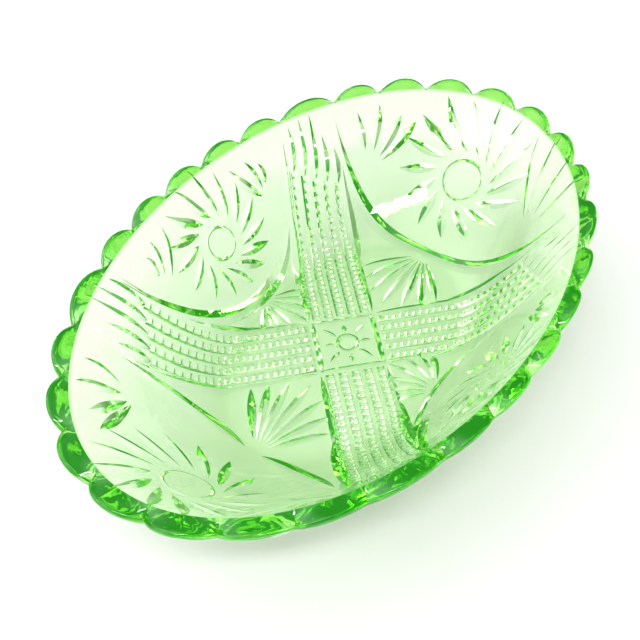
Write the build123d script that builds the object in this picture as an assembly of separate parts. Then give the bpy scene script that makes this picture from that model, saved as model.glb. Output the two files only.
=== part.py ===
from build123d import *
import math
import os

# Oval dish in pressed green glass: one solid, smooth inside, pattern moulded into the outside.
# Millimetres. Origin at the centre of the underside, +X along the long axis, +Z up.

# Overall size, over the lobes of the rim
length = 215.0
width = 143.0
height = 48.0

# Glass
base_thickness = 4.2
rim_thickness = 6.5

# Flat of the underside and flat of the inside floor, both oval
foot_length = 104.0
foot_width = 70.0
floor_length = 98.0
floor_width = 64.0

# How the wall curves up: 1 is a straight cone, larger is flatter at the floor and steeper at the rim
outside_curve = 1.55
inside_curve = 1.7
wall_sections = 8

# Rim lobes: a wide one at each end of the two crossing bands, narrow ones between them
end_lobes = 7
side_lobes = 5
band_lobe_width = 24.0
lobe_rise = 3.6

# Pattern: two crossing bands, a framed square where they cross, and an arc between the bands
band_width = 22.0
band_rows = 5
band_angle = 45.0
groove_depth = 0.8
groove_width = 0.9
end_arc_reach = 55.0
side_arc_reach = 38.0
arc_width = 1.6


def oval_bowl(bottom_size, top_size, bottom, top, curve):
    """Solid that fills an oval bowl between two levels, its side curving up from the bottom oval."""
    ovals = Sketch()
    for step in range(wall_sections + 1):
        share = step / wall_sections
        half_length = (bottom_size[0] + (top_size[0] - bottom_size[0]) * share) / 2
        half_width = (bottom_size[1] + (top_size[1] - bottom_size[1]) * share) / 2
        level = bottom + (top - bottom) * share**curve
        ovals += Pos(0, 0, level) * Ellipse(half_length, half_width)
    return loft(ovals.faces().sort_by(Axis.Z))


def outside_shape(inset=0.0):
    """Outside of the dish as a filled solid, or the same shape drawn in by an inset."""
    foot = (foot_length - 2 * inset, foot_width - 2 * inset)
    rim = (length - 2 * inset, width - 2 * inset)
    return oval_bowl(foot, rim, inset, height, outside_curve)


def inside_shape():
    """Hollow of the dish as a filled solid."""
    rim = (length - 2 * rim_thickness, width - 2 * rim_thickness)
    return oval_bowl((floor_length, floor_width), rim, base_thickness, height, inside_curve)


def lobe_widths(rim_line):
    """Width of each lobe along the rim, from the middle of the lobe at +X and going round."""
    narrow_lobes = 2 * (end_lobes + side_lobes)
    narrow = (rim_line.length - 4 * band_lobe_width) / narrow_lobes
    half_end = [narrow] * (end_lobes // 2)
    side = [narrow] * side_lobes
    end = [narrow] * end_lobes
    wide = [band_lobe_width]
    return [narrow / 2] + half_end + wide + side + wide + end + wide + side + wide + half_end + [narrow / 2]


def notch_cutter(left, right):
    """Glass taken away between the arched tops of two lobes, drawn across the rim."""
    bottom = height - lobe_rise
    with BuildSketch(Plane.XZ) as outline:
        with BuildLine():
            left_arch = TangentArc((-left, height), (0, bottom), tangent=(1, 0))
            right_arch = TangentArc((right, height), (0, bottom), tangent=(-1, 0))
            Polyline(left_arch @ 0, (-left, height + lobe_rise), (right, height + lobe_rise), right_arch @ 0)
        make_face()
    return extrude(outline.sketch, amount=2 * rim_thickness, both=True)


def rim_notches():
    """One cutter at each place where two lobes meet."""
    rim_line = Edge.make_ellipse(length / 2 - rim_thickness / 2, width / 2 - rim_thickness / 2)
    widths = lobe_widths(rim_line)
    cutters = []
    travelled = 0.0
    for before, after in zip(widths, widths[1:]):
        travelled += before
        share = travelled / rim_line.length
        left = before if not cutters else before / 2
        right = after if len(cutters) == len(widths) - 2 else after / 2
        along = rim_line % share
        turn = math.degrees(math.atan2(along.Y, along.X))
        cutters.append(Pos(*(rim_line @ share)) * Rot(0, 0, turn) * notch_cutter(left, right))
    return cutters


def band_lines():
    """Centre lines of the grooves that part the rows of each band, and the frame of the square."""
    lines = []
    half_band = band_width / 2
    for arm in range(4):
        angle = band_angle if arm % 2 == 0 else 180 - band_angle
        turn = angle + 180 * (arm // 2)
        for row in range(band_rows + 1):
            offset = -half_band + row * band_width / band_rows
            lines.append(Rot(0, 0, turn) * Line((half_band, offset), (length / 2, offset)))
        lines.append(Rot(0, 0, turn) * Line((half_band, -half_band), (half_band, half_band)))
    return lines


def border_meets_rim(side):
    """Where a border line of the first band crosses the oval of the rim."""
    angle = math.radians(band_angle)
    away = side * band_width / 2
    start = Vector(-away * math.sin(angle), away * math.cos(angle))
    along = Vector(math.cos(angle), math.sin(angle))
    a = (along.X / length) ** 2 + (along.Y / width) ** 2
    b = 2 * (start.X * along.X / length**2 + start.Y * along.Y / width**2)
    c = (start.X / length) ** 2 + (start.Y / width) ** 2 - 0.25
    distance = (-b + math.sqrt(b * b - 4 * a * c)) / (2 * a)
    return start + along * distance


def arcs():
    """Four arcs, each from band border to band border and bowed toward the middle of the dish."""
    angle = math.radians(band_angle)
    inward = (-math.cos(angle), -math.sin(angle))
    end_start = border_meets_rim(-1)
    side_start = border_meets_rim(1)
    end_half = Spline((end_start.X, end_start.Y), (end_arc_reach, 0), tangents=[inward, (0, -1)])
    side_half = Spline((side_start.X, side_start.Y), (0, side_arc_reach), tangents=[inward, (-1, 0)])
    lines = []
    for half in (end_half, side_half):
        for line in (half, mirror(half, about=Plane.YZ)):
            lines += [line, mirror(line, about=Plane.XZ)]
    return lines


def pattern_grooves():
    """Grooves of even depth that follow the outside under the lines of the pattern."""
    skin = outside_shape() - outside_shape(groove_depth)
    band = Sketch() + [trace(line, groove_width) for line in band_lines()]
    arc = Sketch() + [trace(line, arc_width) for line in arcs()]
    below = Pos(0, 0, -groove_depth)
    return [skin & extrude(below * face, amount=height, dir=(0, 0, 1)) for face in (band + arc).faces()]


def glass_dish():
    """The whole dish: shell, scalloped rim and pattern."""
    shell = outside_shape() - inside_shape()
    return shell - rim_notches() - pattern_grooves()


os.makedirs("parts", exist_ok=True)
dish = glass_dish()
export_step(dish, "parts/glass_dish.step")
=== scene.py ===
import math

import bmesh
import bpy
from mathutils import Matrix, Vector


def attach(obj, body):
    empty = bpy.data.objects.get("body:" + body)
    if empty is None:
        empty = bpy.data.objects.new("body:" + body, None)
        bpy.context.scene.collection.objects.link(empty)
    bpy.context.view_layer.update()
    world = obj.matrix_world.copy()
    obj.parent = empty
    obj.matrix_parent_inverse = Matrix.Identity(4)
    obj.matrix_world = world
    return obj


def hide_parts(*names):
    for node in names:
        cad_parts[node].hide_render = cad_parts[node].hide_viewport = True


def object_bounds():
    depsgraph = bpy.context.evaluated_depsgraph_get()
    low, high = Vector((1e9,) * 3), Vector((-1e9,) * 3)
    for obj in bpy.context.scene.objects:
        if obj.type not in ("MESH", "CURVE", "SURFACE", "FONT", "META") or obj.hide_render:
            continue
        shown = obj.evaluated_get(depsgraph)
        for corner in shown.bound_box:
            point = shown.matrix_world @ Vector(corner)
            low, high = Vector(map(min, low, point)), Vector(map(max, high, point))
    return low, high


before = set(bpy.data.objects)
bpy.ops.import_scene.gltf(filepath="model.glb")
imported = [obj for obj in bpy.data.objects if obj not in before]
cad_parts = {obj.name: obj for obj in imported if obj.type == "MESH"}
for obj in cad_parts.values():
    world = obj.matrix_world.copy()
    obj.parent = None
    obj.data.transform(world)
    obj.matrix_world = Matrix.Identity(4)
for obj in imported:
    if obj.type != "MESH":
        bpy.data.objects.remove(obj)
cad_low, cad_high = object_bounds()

# Oval dish in pressed green glass. One piece: a shell drawn up ring by ring, its rim scalloped,
# then the pattern cut into the outside as the mould leaves it. Lengths in metres.
MM = 0.001

# Outside of the shell, its overall size from the CAD box
HALF_LENGTH = cad_high.x
HALF_WIDTH = cad_high.y
HEIGHT = cad_high.z
SLIMNESS = HALF_WIDTH / HALF_LENGTH
FOOT_REACH = 52 * MM            # half length of the flat underside
OUTSIDE_CURVE = 1.65            # 1 is a straight cone, larger is flatter low down and steeper at the rim

# Rim lobes: one wide lobe at each end of the two bands, narrow ones between them
END_LOBES = 7
SIDE_LOBES = 5
BAND_LOBE_WIDTH = 24 * MM
POINTS_PER_LOBE = 12
POINTS_PER_BAND_LOBE = 16
LOBE_RISE = 3.6 * MM            # how far a lobe stands above the notches beside it
LOBE_FLARE = 2.8 * MM           # how far it leans out at the ends of the dish
LOBE_FULLNESS = 2.2             # 2 is a round arch, larger is fuller towards the notches
LOBES_BEGIN = 0.87              # share of the wall below which there is no trace of the lobes
LOBE_UNDER_RISE = 0.8           # share of the rise that a lobe has at its lower edge

# Rim between the lobes
LIP_LEVEL = 41.4 * MM           # where the outer wall turns over into the lip
LIP_REACH = HALF_LENGTH - LOBE_FLARE - 1.5 * MM
LIP_ROUND = 1.7 * MM            # rounding of the rim's outer edge
LIP_LEAN = 1.9 * MM             # how far the lip leans out
LIP_THICKNESS = 2.7 * MM        # width of the rim's top at a notch
CREST_LEVEL = HEIGHT - LOBE_RISE
RIDGE_LEVEL = 46.5 * MM         # where the inner wall meets the top of the rim

# Inside of the shell
FLOOR_LEVEL = 4.2 * MM
FLOOR_REACH = 49 * MM
FLOOR_SIDE = 31.6 * MM
INSIDE_CURVE = 1.8

# Rings of points in each stretch of the shell
UNDERSIDE_RINGS = 8
WALL_RINGS = 44
LIP_RINGS = 9
RIM_RINGS = 8
INSIDE_RINGS = 30
FLOOR_RINGS = 6

# Cutters: how far they stand above the glass, and how far their pointed ends stay clear of it
CLEARANCE = 1.2 * MM
TIP_CLEARANCE = 0.1 * MM
LONG_STEP = 1.6 * MM
SHORT_STEP = 1.2 * MM

# Crossing bands: rows of beads, then a plain cut from each row to the rim
BAND_ANGLE = 45
BAND_HALF = 11.6 * MM
ROWS = 5
ROW_PITCH = 4.4 * MM
ROW_WIDTH = 3.1 * MM
BEAD_PITCH = 2.5 * MM
BEAD_DEPTH = 1.1 * MM           # depth of the channel that the beads stand in
BEAD_HEIGHT = 0.95 * MM
BEAD_HALF = 0.84                # half width of a bead, as a share of half the channel
BEAD_LENGTHWISE = (1.0, 0.86, 0.0, 0.86)
BEAD_CROSSWISE = (-1.0, -BEAD_HALF, -0.55, -0.2, 0.2, 0.55, BEAD_HALF, 1.0)
CHANNEL_MOUTH = 0.62            # half width above the glass, as a share of the row's width
RIM_CUT_DEPTH = 2.0 * MM
RIM_CUT_FLANK = 49
BORDER_END = 74 * MM
BORDER_DEPTH = 1.0 * MM
BLADE_DEPTH = 2.2 * MM
BORDER_FLANK = 50
END_BLADES = (38 * MM, 71 * MM)         # start and end along the band, on the side of the dish's ends
SIDE_BLADES = (26 * MM, 63 * MM)        # and on the side of its long sides
BLADE_SPREAD = 1.04

# Square where the bands cross, with a ring and a star
PANEL_HALF = 10.85 * MM
PANEL_OVERRUN = 1 * MM
FRAME_DEPTH = 0.9 * MM
FRAME_FLANK = 46
RING_RADIUS = 3.5 * MM
RING_THICKNESS = 0.75 * MM
STAR_RAYS = 8
STAR_DEPTH = 0.8 * MM
STAR_FLANK = 48
BEADS_START = PANEL_HALF + 2 * MM
BEADS_END = 68 * MM

# Curved lines that close the base of each quarter
END_ARC = 54 * MM
SIDE_ARC = 38.8 * MM
ARC_BEND = 105 * MM
END_ARC_REACH = 51 * MM
SIDE_ARC_REACH = 45 * MM
ARC_DEPTH = 2.5 * MM
ARC_FLANK = 52

# Fans of long cuts on the base, and of short ones on the wall. In a fan on the wall each blade
# has a lean in degrees from straight outwards and the distance of its end in millimetres.
FAN_RAYS = 3                    # on each side of the middle one
FAN_INSET = 1.5 * MM
BASE_FAN_DEPTH = 1.3 * MM
WALL_FAN_DEPTH = 1.7 * MM
FAN_FLANK = 49
END_FAN = ((60, 14), (22, 18), (-6, 21), (-20, 25))
SIDE_FAN = ((8, 10), (-17, 13), (-42, 18))
FAN_START = 5
USUAL_STRETCH = 0.92
LONG_STRETCH = 1.25

# Swirl medallions, with a plain boss in the middle
END_SWIRL = 82.8 * MM
SIDE_SWIRL = 56.6 * MM
END_SLOPE = 0.73                # how much the wall's slope shortens a swirl in plan
SIDE_SLOPE = 0.56
SWIRL_BLADES = 15
SWIRL_STATIONS = 10
SWIRL_LEAN = 46
SWIRL_DEPTH = 1.65 * MM
SWIRL_FLANK = 49
END_BOSS = 8 * MM
SIDE_BOSS = 6 * MM
BOSS_STATIONS = 32
BOSS_DEPTH = 0.6 * MM
BOSS_FLANK = 46

# Glass
REFRACTION = 1.52
POLISH = 0.02
# Painted glow: the glass gives off a faint green light, which brightens the rim and fills its darker parts
# with green.
PAINTED_GLOW_COLOUR = (0.06, 1, 0, 1)   # painted glow: green light that the glass gives off of its own, though it is no lamp
PAINTED_GLOW_STRENGTH = 0.05
DEPTH_COLOUR = (0.56, 0.985, 0.0, 1)
DEPTH_DENSITY = 36
CLEAR = (1, 1, 1, 1)
# Painted shade: the base colour turns a deeper green over the top of the rim, standing in for the green
# that light carried round inside the thick rim gives it. The same levels also set where the ripple grows
# to its full height.
PAINTED_RIM_SHADE = (0.15, 0.73, 0.03, 1)
RIM_SHADE_AND_RIPPLE_LEVELS = (45.6 * MM, 46.6 * MM)
RIPPLE_HEIGHT = 0.5 * MM
RIPPLE_SCALE = 130
WALL_RIPPLE = 0.2               # share of the ripple that shows below the rim
TABLE_COLOUR = (0.79, 0.79, 0.785, 1)
TABLE_ROUGHNESS = 0.9

SMOOTH_UP_TO = 28               # degrees between faces that still shade as one surface

# Stage
TABLE_SIZE = 6
TABLE_DROP = 0.4 * MM           # keeps the table clear of the underside, so that they don't coincide
VIEW_TURN = -55.656
VIEW_TILT = 44.933
VIEW_ROLL = -0.587
VIEW_DISTANCE = 2.614 * 104.8
SENSOR_WIDTH = 36
LENS = 48.4
VIEW_SHIFT = (-0.0417, -0.0976)
LAMP_PLACE = (-0.38, -0.33, 1.1)
LAMP_LENGTH = 0.7
LAMP_WIDTH = 0.12
LAMP_POWER = 6
WINDOW_DIRECTION = (-0.35, 0.55, 0.76)


# ---------------------------------------------------------------- rim layout

def rim_length_table(steps=7200):
    """Distance along the rim at evenly spaced angles of the oval, starting at +X."""
    table = [0.0]
    for step in range(steps):
        angle = 2 * math.pi * (step + 0.5) / steps
        pace = math.hypot(LIP_REACH * math.sin(angle), LIP_REACH * SLIMNESS * math.cos(angle))
        table.append(table[-1] + pace * 2 * math.pi / steps)
    return table


def angle_at(table, distance):
    """Angle of the oval at a distance along the rim."""
    low, high = 0, len(table) - 1
    while high - low > 1:
        middle = (low + high) // 2
        if table[middle] <= distance:
            low = middle
        else:
            high = middle
    share = (distance - table[low]) / (table[high] - table[low])
    return 2 * math.pi * (low + share) / (len(table) - 1)


def lobe_list(table):
    """Start, width and number of points of each lobe, round the rim from the middle of the end lobe."""
    narrow = (table[-1] - 4 * BAND_LOBE_WIDTH) / (2 * END_LOBES + 2 * SIDE_LOBES)
    order = ["narrow"] * (END_LOBES // 2) + ["band"] + ["narrow"] * SIDE_LOBES + ["band"]
    order += ["narrow"] * END_LOBES + ["band"] + ["narrow"] * SIDE_LOBES + ["band"]
    order += ["narrow"] * (END_LOBES // 2 + 1)
    lobes = []
    start = narrow / 2
    for kind in order:
        wide = kind == "band"
        width = BAND_LOBE_WIDTH if wide else narrow
        lobes.append((start, width, POINTS_PER_BAND_LOBE if wide else POINTS_PER_LOBE))
        start += width
    return lobes


RIM_TABLE = rim_length_table()
LOBES = lobe_list(RIM_TABLE)
NOTCH_ANGLES = [angle_at(RIM_TABLE, start) for start, width, points in LOBES]


def column_angles():
    """Angle of every column of points round the shell, evenly spaced inside each lobe."""
    angles = []
    for start, width, points in LOBES:
        for point in range(points):
            distance = (start + width * point / points) % RIM_TABLE[-1]
            angles.append(angle_at(RIM_TABLE, distance))
    return angles


def place_in_lobe(angle):
    """How far across its lobe an angle lies, from -1 at one notch to 1 at the next."""
    angle = (angle - NOTCH_ANGLES[0]) % (2 * math.pi)
    turned = [(notch - NOTCH_ANGLES[0]) % (2 * math.pi) for notch in NOTCH_ANGLES] + [2 * math.pi]
    for low, high in zip(turned, turned[1:]):
        if low <= angle <= high:
            return 2 * (angle - low) / (high - low) - 1
    return -1.0


def ease(share):
    """Smooth step from 0 to 1."""
    share = min(max(share, 0.0), 1.0)
    return share * share * (3 - 2 * share)


# ---------------------------------------------------------------- shell

def lobe_shift(angle, flare, rise):
    """Move of a point of the rim that makes the lobes: outwards and up, nothing at the notches."""
    arch = 1 - abs(place_in_lobe(angle)) ** LOBE_FULLNESS
    out = LOBE_FLARE * arch * flare
    return Vector((out * math.cos(angle), out * SLIMNESS * math.sin(angle), LOBE_RISE * arch * rise))


def lobe_underside(climb):
    """Share of the lobes' flare at a height of the outside: it swells over the last of the wall."""
    return ease((climb - LOBES_BEGIN) / (1 - LOBES_BEGIN))


def outside_point(x, y):
    """Point of the plain outside of the dish above a point of its plan."""
    reach = math.hypot(x, y / SLIMNESS)
    climb = max(0.0, (reach - FOOT_REACH) / (LIP_REACH - FOOT_REACH))
    level = LIP_LEVEL * climb**OUTSIDE_CURVE
    angle = math.atan2(y / SLIMNESS, x)
    swell = lobe_underside(climb)
    point = Vector((x, y, level))
    return point + lobe_shift(angle, swell, swell * LOBE_UNDER_RISE) if swell > 0 else point


def outside_normal(x, y):
    """Direction out of the glass at a point of the outside."""
    step = 0.2 * MM
    along = outside_point(x + step, y) - outside_point(x - step, y)
    across = outside_point(x, y + step) - outside_point(x, y - step)
    return across.cross(along).normalized()


def shell_rings():
    """Half length, half width, level, flare and rise of each ring: out, up, over the lip and in."""
    rings = []
    for step in range(1, UNDERSIDE_RINGS + 1):
        reach = FOOT_REACH * step / UNDERSIDE_RINGS
        rings.append((reach, reach * SLIMNESS, 0.0, 0.0, 0.0))
    for step in range(1, WALL_RINGS + 1):
        climb = step / WALL_RINGS
        reach = FOOT_REACH + (LIP_REACH - FOOT_REACH) * climb
        swell = lobe_underside(climb)
        level = LIP_LEVEL * climb**OUTSIDE_CURVE
        rings.append((reach, reach * SLIMNESS, level, swell, swell * LOBE_UNDER_RISE))
    for step in range(1, LIP_RINGS + 1):
        turn = math.pi / 2 * step / LIP_RINGS
        out = LIP_ROUND * (math.cos(turn) - 1) + LIP_LEAN * math.sin(turn)
        level = LIP_LEVEL + (CREST_LEVEL - LIP_LEVEL) * math.sin(turn)
        rise = LOBE_UNDER_RISE + (1 - LOBE_UNDER_RISE) * math.sin(turn)
        rings.append((LIP_REACH + out, LIP_REACH * SLIMNESS + out, level, 1.0, rise))
    for step in range(1, RIM_RINGS):
        share = step / RIM_RINGS
        out = LIP_LEAN - LIP_ROUND - (LIP_THICKNESS - LIP_ROUND + LIP_LEAN) * share
        level = CREST_LEVEL + (RIDGE_LEVEL - CREST_LEVEL) * share
        rings.append((LIP_REACH + out, LIP_REACH * SLIMNESS + out, level, 1 - share, 1 - share))
    inner = LIP_REACH - LIP_THICKNESS
    inner_side = LIP_REACH * SLIMNESS - LIP_THICKNESS
    for step in range(INSIDE_RINGS):
        climb = 1 - step / INSIDE_RINGS
        reach = FLOOR_REACH + (inner - FLOOR_REACH) * climb
        side = FLOOR_SIDE + (inner_side - FLOOR_SIDE) * climb
        level = FLOOR_LEVEL + (RIDGE_LEVEL - FLOOR_LEVEL) * climb**INSIDE_CURVE
        rings.append((reach, side, level, 0.0, 0.0))
    parts = FLOOR_RINGS + 0.5
    for step in range(FLOOR_RINGS, 0, -1):
        rings.append((FLOOR_REACH * step / parts, FLOOR_SIDE * step / parts, FLOOR_LEVEL, 0.0, 0.0))
    return rings


def make_shell():
    """Plain scalloped shell: a fan of faces drawn out ring by ring and closed on the inside floor."""
    angles = sorted(column_angles())
    rings = shell_rings()
    bpy.ops.object.select_all(action="DESELECT")
    bpy.ops.mesh.primitive_circle_add(vertices=len(angles), radius=1, fill_type="TRIFAN")
    shell = bpy.context.object
    shell.name = "pressed_glass_dish"
    shell.data.attributes.new("turn", "FLOAT", "POINT")
    shell.data.attributes.new("flare", "FLOAT", "POINT")
    shell.data.attributes.new("rise", "FLOAT", "POINT")
    turn = shell.data.attributes["turn"]
    first = rings[0]
    edge_points = [point for point in shell.data.vertices if point.co.length > 0.5]
    edge_points.sort(key=lambda point: math.atan2(point.co.y, point.co.x) % (2 * math.pi))
    for point, angle in zip(edge_points, angles):
        point.co = (first[0] * math.cos(angle), first[1] * math.sin(angle), first[2])
        turn.data[point.index].value = angle
    bpy.ops.object.mode_set(mode="EDIT")
    bpy.ops.mesh.select_mode(type="EDGE")
    bpy.ops.mesh.select_all(action="DESELECT")
    bpy.ops.mesh.select_non_manifold()
    for before, ring in zip(rings, rings[1:]):
        grow = (ring[0] / before[0], ring[1] / before[1], 1)
        bpy.ops.mesh.extrude_edges_move()
        bpy.ops.transform.resize(value=grow, center_override=(0, 0, before[2]))
        bpy.ops.transform.translate(value=(0, 0, ring[2] - before[2]))
        grown = bmesh.from_edit_mesh(shell.data)
        flare = grown.verts.layers.float["flare"]
        rise = grown.verts.layers.float["rise"]
        for vert in grown.verts:
            if vert.select:
                vert[flare] = ring[3]
                vert[rise] = ring[4]
    bpy.ops.mesh.merge(type="CENTER")
    bpy.ops.mesh.select_all(action="SELECT")
    bpy.ops.mesh.normals_make_consistent(inside=False)
    bpy.ops.object.mode_set(mode="OBJECT")
    turn = shell.data.attributes["turn"]
    flare = shell.data.attributes["flare"]
    rise = shell.data.attributes["rise"]
    for point in shell.data.vertices:
        index = point.index
        if flare.data[index].value > 0:
            point.co += lobe_shift(turn.data[index].value, flare.data[index].value, rise.data[index].value)
    for name in ("turn", "flare", "rise"):
        shell.data.attributes.remove(shell.data.attributes[name])
    return shell


# ---------------------------------------------------------------- cutters

def make_blank(stations, around):
    """Straight bar to be bent into a cutter, with a ring of points at every station along it."""
    bpy.ops.object.select_all(action="DESELECT")
    bpy.ops.mesh.primitive_circle_add(vertices=around, radius=1, fill_type="NGON")
    blank = bpy.context.object
    bpy.ops.object.mode_set(mode="EDIT")
    for station in range(stations - 1):
        bpy.ops.mesh.extrude_region_move(TRANSFORM_OT_translate={"value": (0, 0, 1)})
    bpy.ops.mesh.select_all(action="SELECT")
    bpy.ops.mesh.normals_make_consistent(inside=False)
    bpy.ops.object.mode_set(mode="OBJECT")
    return blank


BLANKS = {}


def bend_blank(sections):
    """Cutter made from a copy of the blank of its size, each station's points put in their places."""
    size = (len(sections), len(sections[0]))
    if size not in BLANKS:
        BLANKS[size] = make_blank(*size)
    cutter = BLANKS[size].copy()
    cutter.data = BLANKS[size].data.copy()
    bpy.context.collection.objects.link(cutter)
    for point in cutter.data.vertices:
        turn = math.atan2(point.co.y, point.co.x) % (2 * math.pi)
        place = round(turn * size[1] / (2 * math.pi)) % size[1]
        point.co = sections[round(point.co.z)][place]
    return cutter


def line_between(start, end, step=LONG_STEP):
    """Plan points on the straight line from one place to another."""
    run = Vector(end) - Vector(start)
    count = max(7, round(run.length / step) + 1)
    shares = [number / (count - 1) for number in range(count)]
    return [Vector(start) + run * share for share in shares]


def frame_at(points, station):
    """Place on the outside, direction across the cut and direction out of the glass."""
    out = outside_normal(*points[station])
    before = outside_point(*points[max(station - 1, 0)])
    after = outside_point(*points[min(station + 1, len(points) - 1)])
    across = out.cross((after - before).normalized()).normalized()
    return outside_point(*points[station]), across, out


def wheel_cut(points, depth, flank, middle=0.5, fullness=2.0):
    """V cut that starts and ends in a point, as a wheel leaves it, deepest at a share of its length."""
    sections = []
    for station in range(len(points)):
        share = station / (len(points) - 1)
        swell = share / middle if share < middle else (1 - share) / (1 - middle)
        deep = (depth + TIP_CLEARANCE) * (1 - (1 - swell) ** fullness) - TIP_CLEARANCE
        half = (deep + CLEARANCE) * math.tan(math.radians(flank))
        place, across, out = frame_at(points, station)
        top = place + out * CLEARANCE
        sections.append([place - out * deep, top + across * half, top - across * half])
    return bend_blank(sections)


def beaded_channel(points):
    """Shallow channel with a row of rounded beads standing in it, four stations to a bead."""
    sections = []
    for station in range(len(points)):
        bead = BEAD_HEIGHT * BEAD_LENGTHWISE[station % len(BEAD_LENGTHWISE)]
        place, across, out = frame_at(points, station)
        section = []
        for share in BEAD_CROSSWISE:
            side = across * ROW_WIDTH / 2 * share
            dome = bead * max(0.0, 1 - (share / BEAD_HALF) ** 2) ** 0.5
            edge = abs(share) == 1.0
            section.append(place + side - out * (0.0 if edge else BEAD_DEPTH - dome))
        mouth = across * ROW_WIDTH * CHANNEL_MOUTH
        section.append(place + mouth + out * CLEARANCE)
        section.append(place - mouth + out * CLEARANCE)
        sections.append(section)
    return bend_blank(sections)


def cut_away(dish, cutters):
    """Takes one set of cutters, which stay clear of each other, out of the dish."""
    bpy.ops.object.select_all(action="DESELECT")
    for cutter in cutters:
        cutter.select_set(True)
    bpy.context.view_layer.objects.active = cutters[0]
    if len(cutters) > 1:
        bpy.ops.object.join()
    tool = bpy.context.object
    bpy.ops.object.mode_set(mode="EDIT")
    bpy.ops.mesh.select_all(action="SELECT")
    bpy.ops.mesh.normals_make_consistent(inside=False)
    bpy.ops.object.mode_set(mode="OBJECT")
    tool.select_set(False)
    bpy.context.view_layer.objects.active = dish
    cut = dish.modifiers.new("cut", "BOOLEAN")
    cut.operation = "DIFFERENCE"
    cut.solver = "MANIFOLD"
    cut.object = tool
    bpy.ops.object.modifier_apply(modifier=cut.name)
    bpy.data.objects.remove(tool)


# ---------------------------------------------------------------- pattern

def along_band(arm, along, aside):
    """Plan place on one arm of the crossed bands, from the middle outwards and to the left of it."""
    angle = math.radians(BAND_ANGLE + 90 * arm)
    outward = Vector((math.cos(angle), math.sin(angle)))
    return outward * along + Vector((-outward.y, outward.x)) * aside


def band_edge_reach(aside):
    """Distance along a band at which a line beside its middle comes to the notch level of the rim."""
    spread = 1 / SLIMNESS**2
    half_sum = aside * (spread - 1) / (spread + 1)
    square = 2 * LIP_REACH**2 / (1 + spread) - (aside**2 * 4 * spread / (1 + spread) ** 2)
    return math.sqrt(square) - abs(half_sum)


def row_offsets():
    """Distance of each bead row from the middle of its band."""
    return [(row - (ROWS - 1) / 2) * ROW_PITCH for row in range(ROWS)]


def bead_rows():
    """Rows of beads on the four arms, from the panel to where the plain cuts begin."""
    per_bead = len(BEAD_LENGTHWISE)
    beads = round((BEADS_END - BEADS_START) / BEAD_PITCH)
    cutters = []
    for arm in range(4):
        for aside in row_offsets():
            points = []
            for station in range(beads * per_bead + 1):
                along = BEADS_START + station * BEAD_PITCH / per_bead
                points.append(along_band(arm, along, aside))
            cutters.append(beaded_channel(points))
    return cutters


def rim_cuts():
    """Plain pointed cuts that carry each bead row on to the rim."""
    cutters = []
    for arm in range(4):
        for aside in row_offsets():
            end = along_band(arm, band_edge_reach(abs(aside)) - 0.5 * MM, aside)
            points = line_between(along_band(arm, BEADS_END - 1 * MM, aside), end, step=SHORT_STEP)
            cutters.append(wheel_cut(points, RIM_CUT_DEPTH, RIM_CUT_FLANK))
    return cutters


def in_quarter(side, outward, lateral):
    """Plan place in a quarter of the dish: 0 and 2 are the ends, 1 and 3 the long sides."""
    direction = Vector(((1, 0), (0, 1), (-1, 0), (0, -1))[side])
    return direction * outward + Vector((-direction.y, direction.x)) * lateral


def arc_place(side, lateral):
    """Place on the curved line that closes a quarter's base towards its wall."""
    if side % 2 == 0:
        return in_quarter(side, END_ARC + abs(lateral) ** 3 / ARC_BEND**2, lateral)
    return in_quarter(side, SIDE_ARC + 1.1 * lateral**2 / ARC_BEND, lateral)


def arc_points(side, start, end):
    """Plan points of a stretch of the curved line, by distance to the left of the quarter's middle."""
    count = round(abs(end - start) / LONG_STEP) + 1
    return [arc_place(side, start + (end - start) * number / (count - 1)) for number in range(count)]


def arcs():
    """Curved lines: whole in the +X, +Y and -Y quarters, in two blades at the -X end."""
    lines = (
        (0, -END_ARC_REACH, END_ARC_REACH, 0.5, 5.0),
        (1, -30 * MM, SIDE_ARC_REACH, 0.6, 4.0),
        (2, -45 * MM, -3 * MM, 0.55, 3.0),
        (2, 3 * MM, 36 * MM, 0.5, 3.0),
        (3, -SIDE_ARC_REACH, 30 * MM, 0.4, 4.0),
    )
    cutters = []
    for side, start, end, middle, fullness in lines:
        cutters.append(wheel_cut(arc_points(side, start, end), ARC_DEPTH, ARC_FLANK, middle, fullness))
    return cutters


def border_lines():
    """Fine line down each side of each arm."""
    cutters = []
    for arm in range(4):
        for aside in (-BAND_HALF, BAND_HALF):
            start = along_band(arm, BAND_HALF + 0.6 * MM, aside)
            points = line_between(start, along_band(arm, BORDER_END, aside))
            cutters.append(wheel_cut(points, BORDER_DEPTH, BORDER_FLANK, fullness=8.0))
    return cutters


def border_blades():
    """Deep blades that thicken the border lines where the wall begins."""
    cutters = []
    for arm in range(4):
        for aside in (-BAND_HALF, BAND_HALF):
            faces_end = (aside > 0) == (arm % 2 == 1)
            start, end = END_BLADES if faces_end else SIDE_BLADES
            first = along_band(arm, start, aside * BLADE_SPREAD)
            points = line_between(first, along_band(arm, end, aside))
            cutters.append(wheel_cut(points, BLADE_DEPTH, BORDER_FLANK, middle=0.4, fullness=2.2))
    return cutters


def panel_frame():
    """Four grooves round the square where the bands cross."""
    half = PANEL_HALF + PANEL_OVERRUN
    cutters = []
    for arm in range(4):
        ends = [along_band(arm, PANEL_HALF, aside) for aside in (-half, half)]
        points = line_between(*ends, step=SHORT_STEP)
        cutters.append(wheel_cut(points, FRAME_DEPTH, FRAME_FLANK, fullness=6.0))
    return cutters


def panel_star():
    """Eight short cuts round the ring in the square."""
    cutters = []
    for ray in range(STAR_RAYS):
        reach = PANEL_HALF * (0.8 if ray % 2 else 1.02)
        turn = math.radians(360 / STAR_RAYS * ray)
        outward = Vector((math.cos(turn), math.sin(turn)))
        points = line_between(outward * (RING_RADIUS + 1.1 * MM), outward * reach)
        cutters.append(wheel_cut(points, STAR_DEPTH, STAR_FLANK, middle=0.4))
    return cutters


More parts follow.
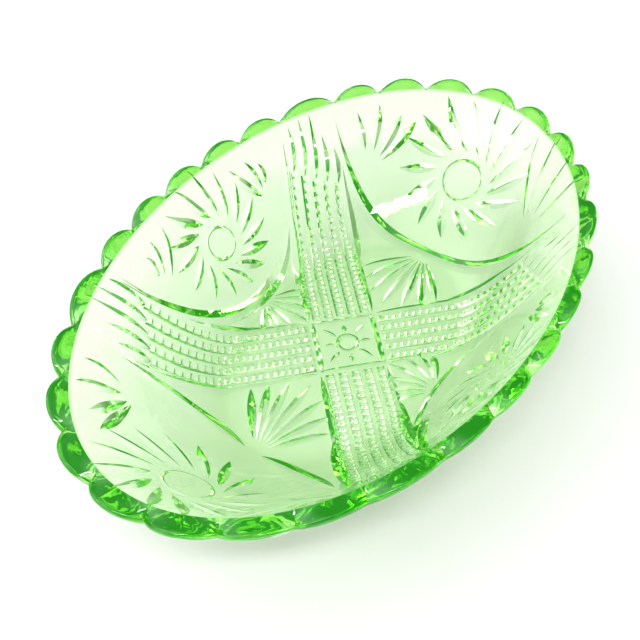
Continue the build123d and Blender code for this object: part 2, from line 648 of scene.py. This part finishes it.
def panel_ring():
    """Ring groove in the middle of the square."""
    bpy.ops.object.select_all(action="DESELECT")
    bpy.ops.mesh.primitive_torus_add(
        major_radius=RING_RADIUS, minor_radius=RING_THICKNESS, major_segments=40, minor_segments=4)
    return [bpy.context.object]


def base_fans():
    """Fans of long cuts on the base, opening from each curved line towards the square."""
    cutters = []
    for side in range(4):
        at_end = side % 2 == 0
        root = (END_ARC if at_end else SIDE_ARC) - FAN_INSET
        longest = 31 * MM if at_end else 21 * MM
        between = 14 if at_end else 17
        for ray in range(-FAN_RAYS, FAN_RAYS + 1):
            turn = math.radians(ray * between)
            length = longest * (1 - 0.07 * abs(ray))
            start = in_quarter(side, root - math.cos(turn) * 3 * MM, math.sin(turn) * 4 * MM)
            end = in_quarter(side, root - math.cos(turn) * length, math.sin(turn) * length)
            cutters.append(wheel_cut(line_between(start, end), BASE_FAN_DEPTH, FAN_FLANK, middle=0.6))
    return cutters


def wall_fans():
    """Fans of short blades on the wall at both ends of each quarter, opening to the rim."""
    cutters = []
    for side in range(4):
        at_end = side % 2 == 0
        outward, lateral = (67 * MM, 34 * MM) if at_end else (53 * MM, 29 * MM)
        for hand in (-1, 1):
            stretch = LONG_STRETCH if side == 0 and hand < 0 else USUAL_STRETCH
            for lean, length in END_FAN if at_end else SIDE_FAN:
                turn = math.radians(lean)
                out, aside = math.cos(turn) * MM, math.sin(turn) * MM * hand
                places = []
                for far in (FAN_START, length * stretch):
                    places.append(in_quarter(side, outward + out * far, lateral * hand + aside * far))
                points = line_between(*places, step=SHORT_STEP)
                cutters.append(wheel_cut(points, WALL_FAN_DEPTH, FAN_FLANK, middle=0.6))
    return cutters


def medallion_place(side, reach, turn):
    """Plan place at a distance and turn from the middle of a swirl, measured over the wall."""
    at_end = side % 2 == 0
    middle = END_SWIRL if at_end else SIDE_SWIRL
    slope = END_SLOPE if at_end else SIDE_SLOPE
    return in_quarter(side, middle + math.cos(turn) * reach * slope, math.sin(turn) * reach)


def medallions():
    """Swirl of leaning blades in the middle of each quarter's wall."""
    cutters = []
    for side in range(4):
        inner, length = (11 * MM, 19 * MM) if side % 2 == 0 else (9.5 * MM, 15 * MM)
        for blade in range(SWIRL_BLADES):
            turn = 2 * math.pi * (blade + 0.5) / SWIRL_BLADES
            lean = turn + math.radians(SWIRL_LEAN)
            points = []
            for step in range(SWIRL_STATIONS + 1):
                reach = length * step / SWIRL_STATIONS
                across = inner * math.cos(turn) + reach * math.cos(lean)
                along = inner * math.sin(turn) + reach * math.sin(lean)
                from_middle = math.hypot(across, along)
                points.append(medallion_place(side, from_middle, math.atan2(along, across)))
            cutters.append(wheel_cut(points, SWIRL_DEPTH, SWIRL_FLANK))
    return cutters


def bosses():
    """Round groove about the plain boss in the middle of each swirl."""
    half = (BOSS_DEPTH + CLEARANCE) * math.tan(math.radians(BOSS_FLANK))
    cutters = []
    for side in range(4):
        radius = END_BOSS if side % 2 == 0 else SIDE_BOSS
        points = []
        for station in range(BOSS_STATIONS):
            points.append(medallion_place(side, radius, 2 * math.pi * station / BOSS_STATIONS))
        sections = []
        for station in range(BOSS_STATIONS):
            around = points[station - 1:] + points[:station - 1]
            place, across, out = frame_at(around[:3], 1)
            top = place + out * CLEARANCE
            sections.append([place - out * BOSS_DEPTH, top + across * half, top - across * half])
        ring = bend_blank(sections)
        close_ring(ring)
        cutters.append(ring)
    return cutters


def close_ring(ring):
    """Joins the two ends of a bent bar into a closed ring."""
    bpy.ops.object.select_all(action="DESELECT")
    ring.select_set(True)
    bpy.context.view_layer.objects.active = ring
    caps = [face for face in ring.data.polygons if len(face.vertices) == 3]
    for part in list(ring.data.polygons) + list(ring.data.edges) + list(ring.data.vertices):
        part.select = False
    for face in caps:
        face.select = True
    bpy.ops.object.mode_set(mode="EDIT")
    bpy.ops.mesh.select_mode(type="FACE")
    bpy.ops.mesh.bridge_edge_loops()
    bpy.ops.mesh.select_all(action="SELECT")
    bpy.ops.mesh.normals_make_consistent(inside=False)
    bpy.ops.object.mode_set(mode="OBJECT")


def pattern_cutters():
    """All sets of cutters, in the order they are taken out. Cutters in a set stay clear of each other."""
    return [
        bead_rows, rim_cuts, arcs, border_lines, border_blades, panel_frame, panel_star, panel_ring,
        base_fans, wall_fans, medallions, bosses,
    ]


# ---------------------------------------------------------------- materials

def green_glass():
    """Clear green glass: colour in its depth, painted shade that turns the top of the rim a deeper green,
    a painted glow of green light and a pressed ripple.
    """
    material = bpy.data.materials.new("green_uranium_glass")
    material.use_nodes = True
    nodes = material.node_tree.nodes
    links = material.node_tree.links
    surface = nodes["Principled BSDF"]
    surface.inputs["Transmission Weight"].default_value = 1.0
    surface.inputs["IOR"].default_value = REFRACTION
    surface.inputs["Roughness"].default_value = POLISH
    # painted glow: the glass gives off green light of its own, though it is no lamp
    surface.inputs["Emission Color"].default_value = PAINTED_GLOW_COLOUR
    surface.inputs["Emission Strength"].default_value = PAINTED_GLOW_STRENGTH
    depth = nodes.new("ShaderNodeVolumeAbsorption")
    depth.inputs["Color"].default_value = DEPTH_COLOUR
    depth.inputs["Density"].default_value = DEPTH_DENSITY
    links.new(depth.outputs["Volume"], nodes["Material Output"].inputs["Volume"])
    place = nodes.new("ShaderNodeTexCoord")
    waves = nodes.new("ShaderNodeTexNoise")
    waves.inputs["Scale"].default_value = RIPPLE_SCALE
    waves.inputs["Detail"].default_value = 2
    ripple = nodes.new("ShaderNodeBump")
    ripple.inputs["Distance"].default_value = RIPPLE_HEIGHT
    links.new(place.outputs["Object"], waves.inputs["Vector"])
    split = nodes.new("ShaderNodeSeparateXYZ")
    rim = nodes.new("ShaderNodeMapRange")
    rim.inputs["From Min"].default_value = RIM_SHADE_AND_RIPPLE_LEVELS[0]
    rim.inputs["From Max"].default_value = RIM_SHADE_AND_RIPPLE_LEVELS[1]
    links.new(place.outputs["Object"], split.inputs["Vector"])
    links.new(split.outputs["Z"], rim.inputs["Value"])
    swell = nodes.new("ShaderNodeMath")
    swell.operation = "MULTIPLY_ADD"
    swell.inputs[1].default_value = 1 - WALL_RIPPLE
    swell.inputs[2].default_value = WALL_RIPPLE
    links.new(rim.outputs["Result"], swell.inputs[0])
    links.new(swell.outputs["Value"], ripple.inputs["Strength"])
    # painted shade: the base colour is clear below the rim and a deeper green over its top
    painted_rim_shade = nodes.new("ShaderNodeValToRGB")
    painted_rim_shade.color_ramp.elements[0].color = CLEAR
    painted_rim_shade.color_ramp.elements[1].color = PAINTED_RIM_SHADE
    links.new(rim.outputs["Result"], painted_rim_shade.inputs["Fac"])
    links.new(painted_rim_shade.outputs["Color"], surface.inputs["Base Color"])
    links.new(waves.outputs["Fac"], ripple.inputs["Height"])
    links.new(ripple.outputs["Normal"], surface.inputs["Normal"])
    return material


def pale_floor():
    """Matt white of the table."""
    material = bpy.data.materials.new("white_table")
    material.use_nodes = True
    surface = material.node_tree.nodes["Principled BSDF"]
    surface.inputs["Base Color"].default_value = TABLE_COLOUR
    surface.inputs["Roughness"].default_value = TABLE_ROUGHNESS
    return material


# ---------------------------------------------------------------- stage

def make_floor():
    """Plain table top under the dish."""
    bpy.ops.object.select_all(action="DESELECT")
    bpy.ops.mesh.primitive_plane_add(size=TABLE_SIZE, location=(0, 0, -TABLE_DROP))
    floor = bpy.context.object
    floor.name = "table"
    floor.data.materials.append(pale_floor())


def make_camera():
    """Camera above one corner of the dish, looking at the middle of the rim."""
    target = Vector((0, 0, CREST_LEVEL))
    turn = math.radians(VIEW_TURN)
    tilt = math.radians(VIEW_TILT)
    back = Vector((math.sin(turn) * math.cos(tilt), -math.cos(turn) * math.cos(tilt), math.sin(tilt)))
    camera_data = bpy.data.cameras.new("camera")
    camera = bpy.data.objects.new("camera", camera_data)
    bpy.context.collection.objects.link(camera)
    camera.location = target + back * VIEW_DISTANCE * MM
    look = (-back).to_track_quat("-Z", "Y").to_matrix().to_4x4()
    roll = Matrix.Rotation(math.radians(VIEW_ROLL), 4, "Z")
    camera.matrix_world = Matrix.Translation(camera.location) @ look @ roll
    camera_data.sensor_width = SENSOR_WIDTH
    camera_data.lens = LENS
    camera_data.shift_x, camera_data.shift_y = VIEW_SHIFT
    camera_data.clip_start = 0.01
    bpy.context.scene.camera = camera


def make_light(name, place, length, width, power):
    """Rectangular lamp that faces the middle of the dish."""
    bpy.ops.object.light_add(type="AREA", location=place)
    light = bpy.context.object
    light.name = name
    light.data.shape = "RECTANGLE"
    light.data.size = length
    light.data.size_y = width
    light.data.energy = power
    light.rotation_euler = (-Vector(place)).to_track_quat("-Z", "Y").to_euler()


def make_sky():
    """White tent round the table: dim at the table's edge, bright overhead, brightest behind."""
    world = bpy.data.worlds.new("white_tent")
    world.use_nodes = True
    nodes = world.node_tree.nodes
    links = world.node_tree.links
    place = nodes.new("ShaderNodeTexCoord")
    split = nodes.new("ShaderNodeSeparateXYZ")
    overhead = nodes.new("ShaderNodeMapRange")
    overhead.interpolation_type = "SMOOTHSTEP"
    overhead.inputs["From Min"].default_value = 0.1
    overhead.inputs["From Max"].default_value = 0.95
    overhead.inputs["To Min"].default_value = 0.08
    overhead.inputs["To Max"].default_value = 0.55
    facing = nodes.new("ShaderNodeVectorMath")
    facing.operation = "DOT_PRODUCT"
    facing.inputs[1].default_value = WINDOW_DIRECTION
    window = nodes.new("ShaderNodeMapRange")
    window.interpolation_type = "SMOOTHSTEP"
    window.inputs["From Min"].default_value = 0.5
    window.inputs["From Max"].default_value = 1.0
    window.inputs["To Max"].default_value = 2.2
    both = nodes.new("ShaderNodeMath")
    links.new(place.outputs["Generated"], split.inputs["Vector"])
    links.new(split.outputs["Z"], overhead.inputs["Value"])
    links.new(place.outputs["Generated"], facing.inputs[0])
    links.new(facing.outputs["Value"], window.inputs["Value"])
    links.new(overhead.outputs["Result"], both.inputs[0])
    links.new(window.outputs["Result"], both.inputs[1])
    links.new(both.outputs["Value"], nodes["Background"].inputs["Strength"])
    nodes["Background"].inputs["Color"].default_value = (1, 1, 1, 1)
    bpy.context.scene.world = world


def make_studio():
    """Tent and a strip lamp above the near end of the dish."""
    make_sky()
    make_light("strip_lamp", LAMP_PLACE, LAMP_LENGTH, LAMP_WIDTH, LAMP_POWER)
    scene = bpy.context.scene
    scene.view_settings.view_transform = "Standard"
    scene.cycles.max_bounces = 40
    scene.cycles.transmission_bounces = 32
    scene.cycles.caustics_refractive = True
    scene.cycles.caustics_reflective = True


make_floor()
make_camera()
make_studio()
dish = make_shell()
for make_cutters in pattern_cutters():
    cut_away(dish, make_cutters())
for blank in BLANKS.values():
    bpy.data.objects.remove(blank)
bpy.ops.object.select_all(action="DESELECT")
dish.select_set(True)
bpy.context.view_layer.objects.active = dish
bpy.ops.object.shade_smooth_by_angle(angle=math.radians(SMOOTH_UP_TO))
dish.data.materials.clear()
dish.data.materials.append(green_glass())
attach(dish, "root")
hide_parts("glass_dish")
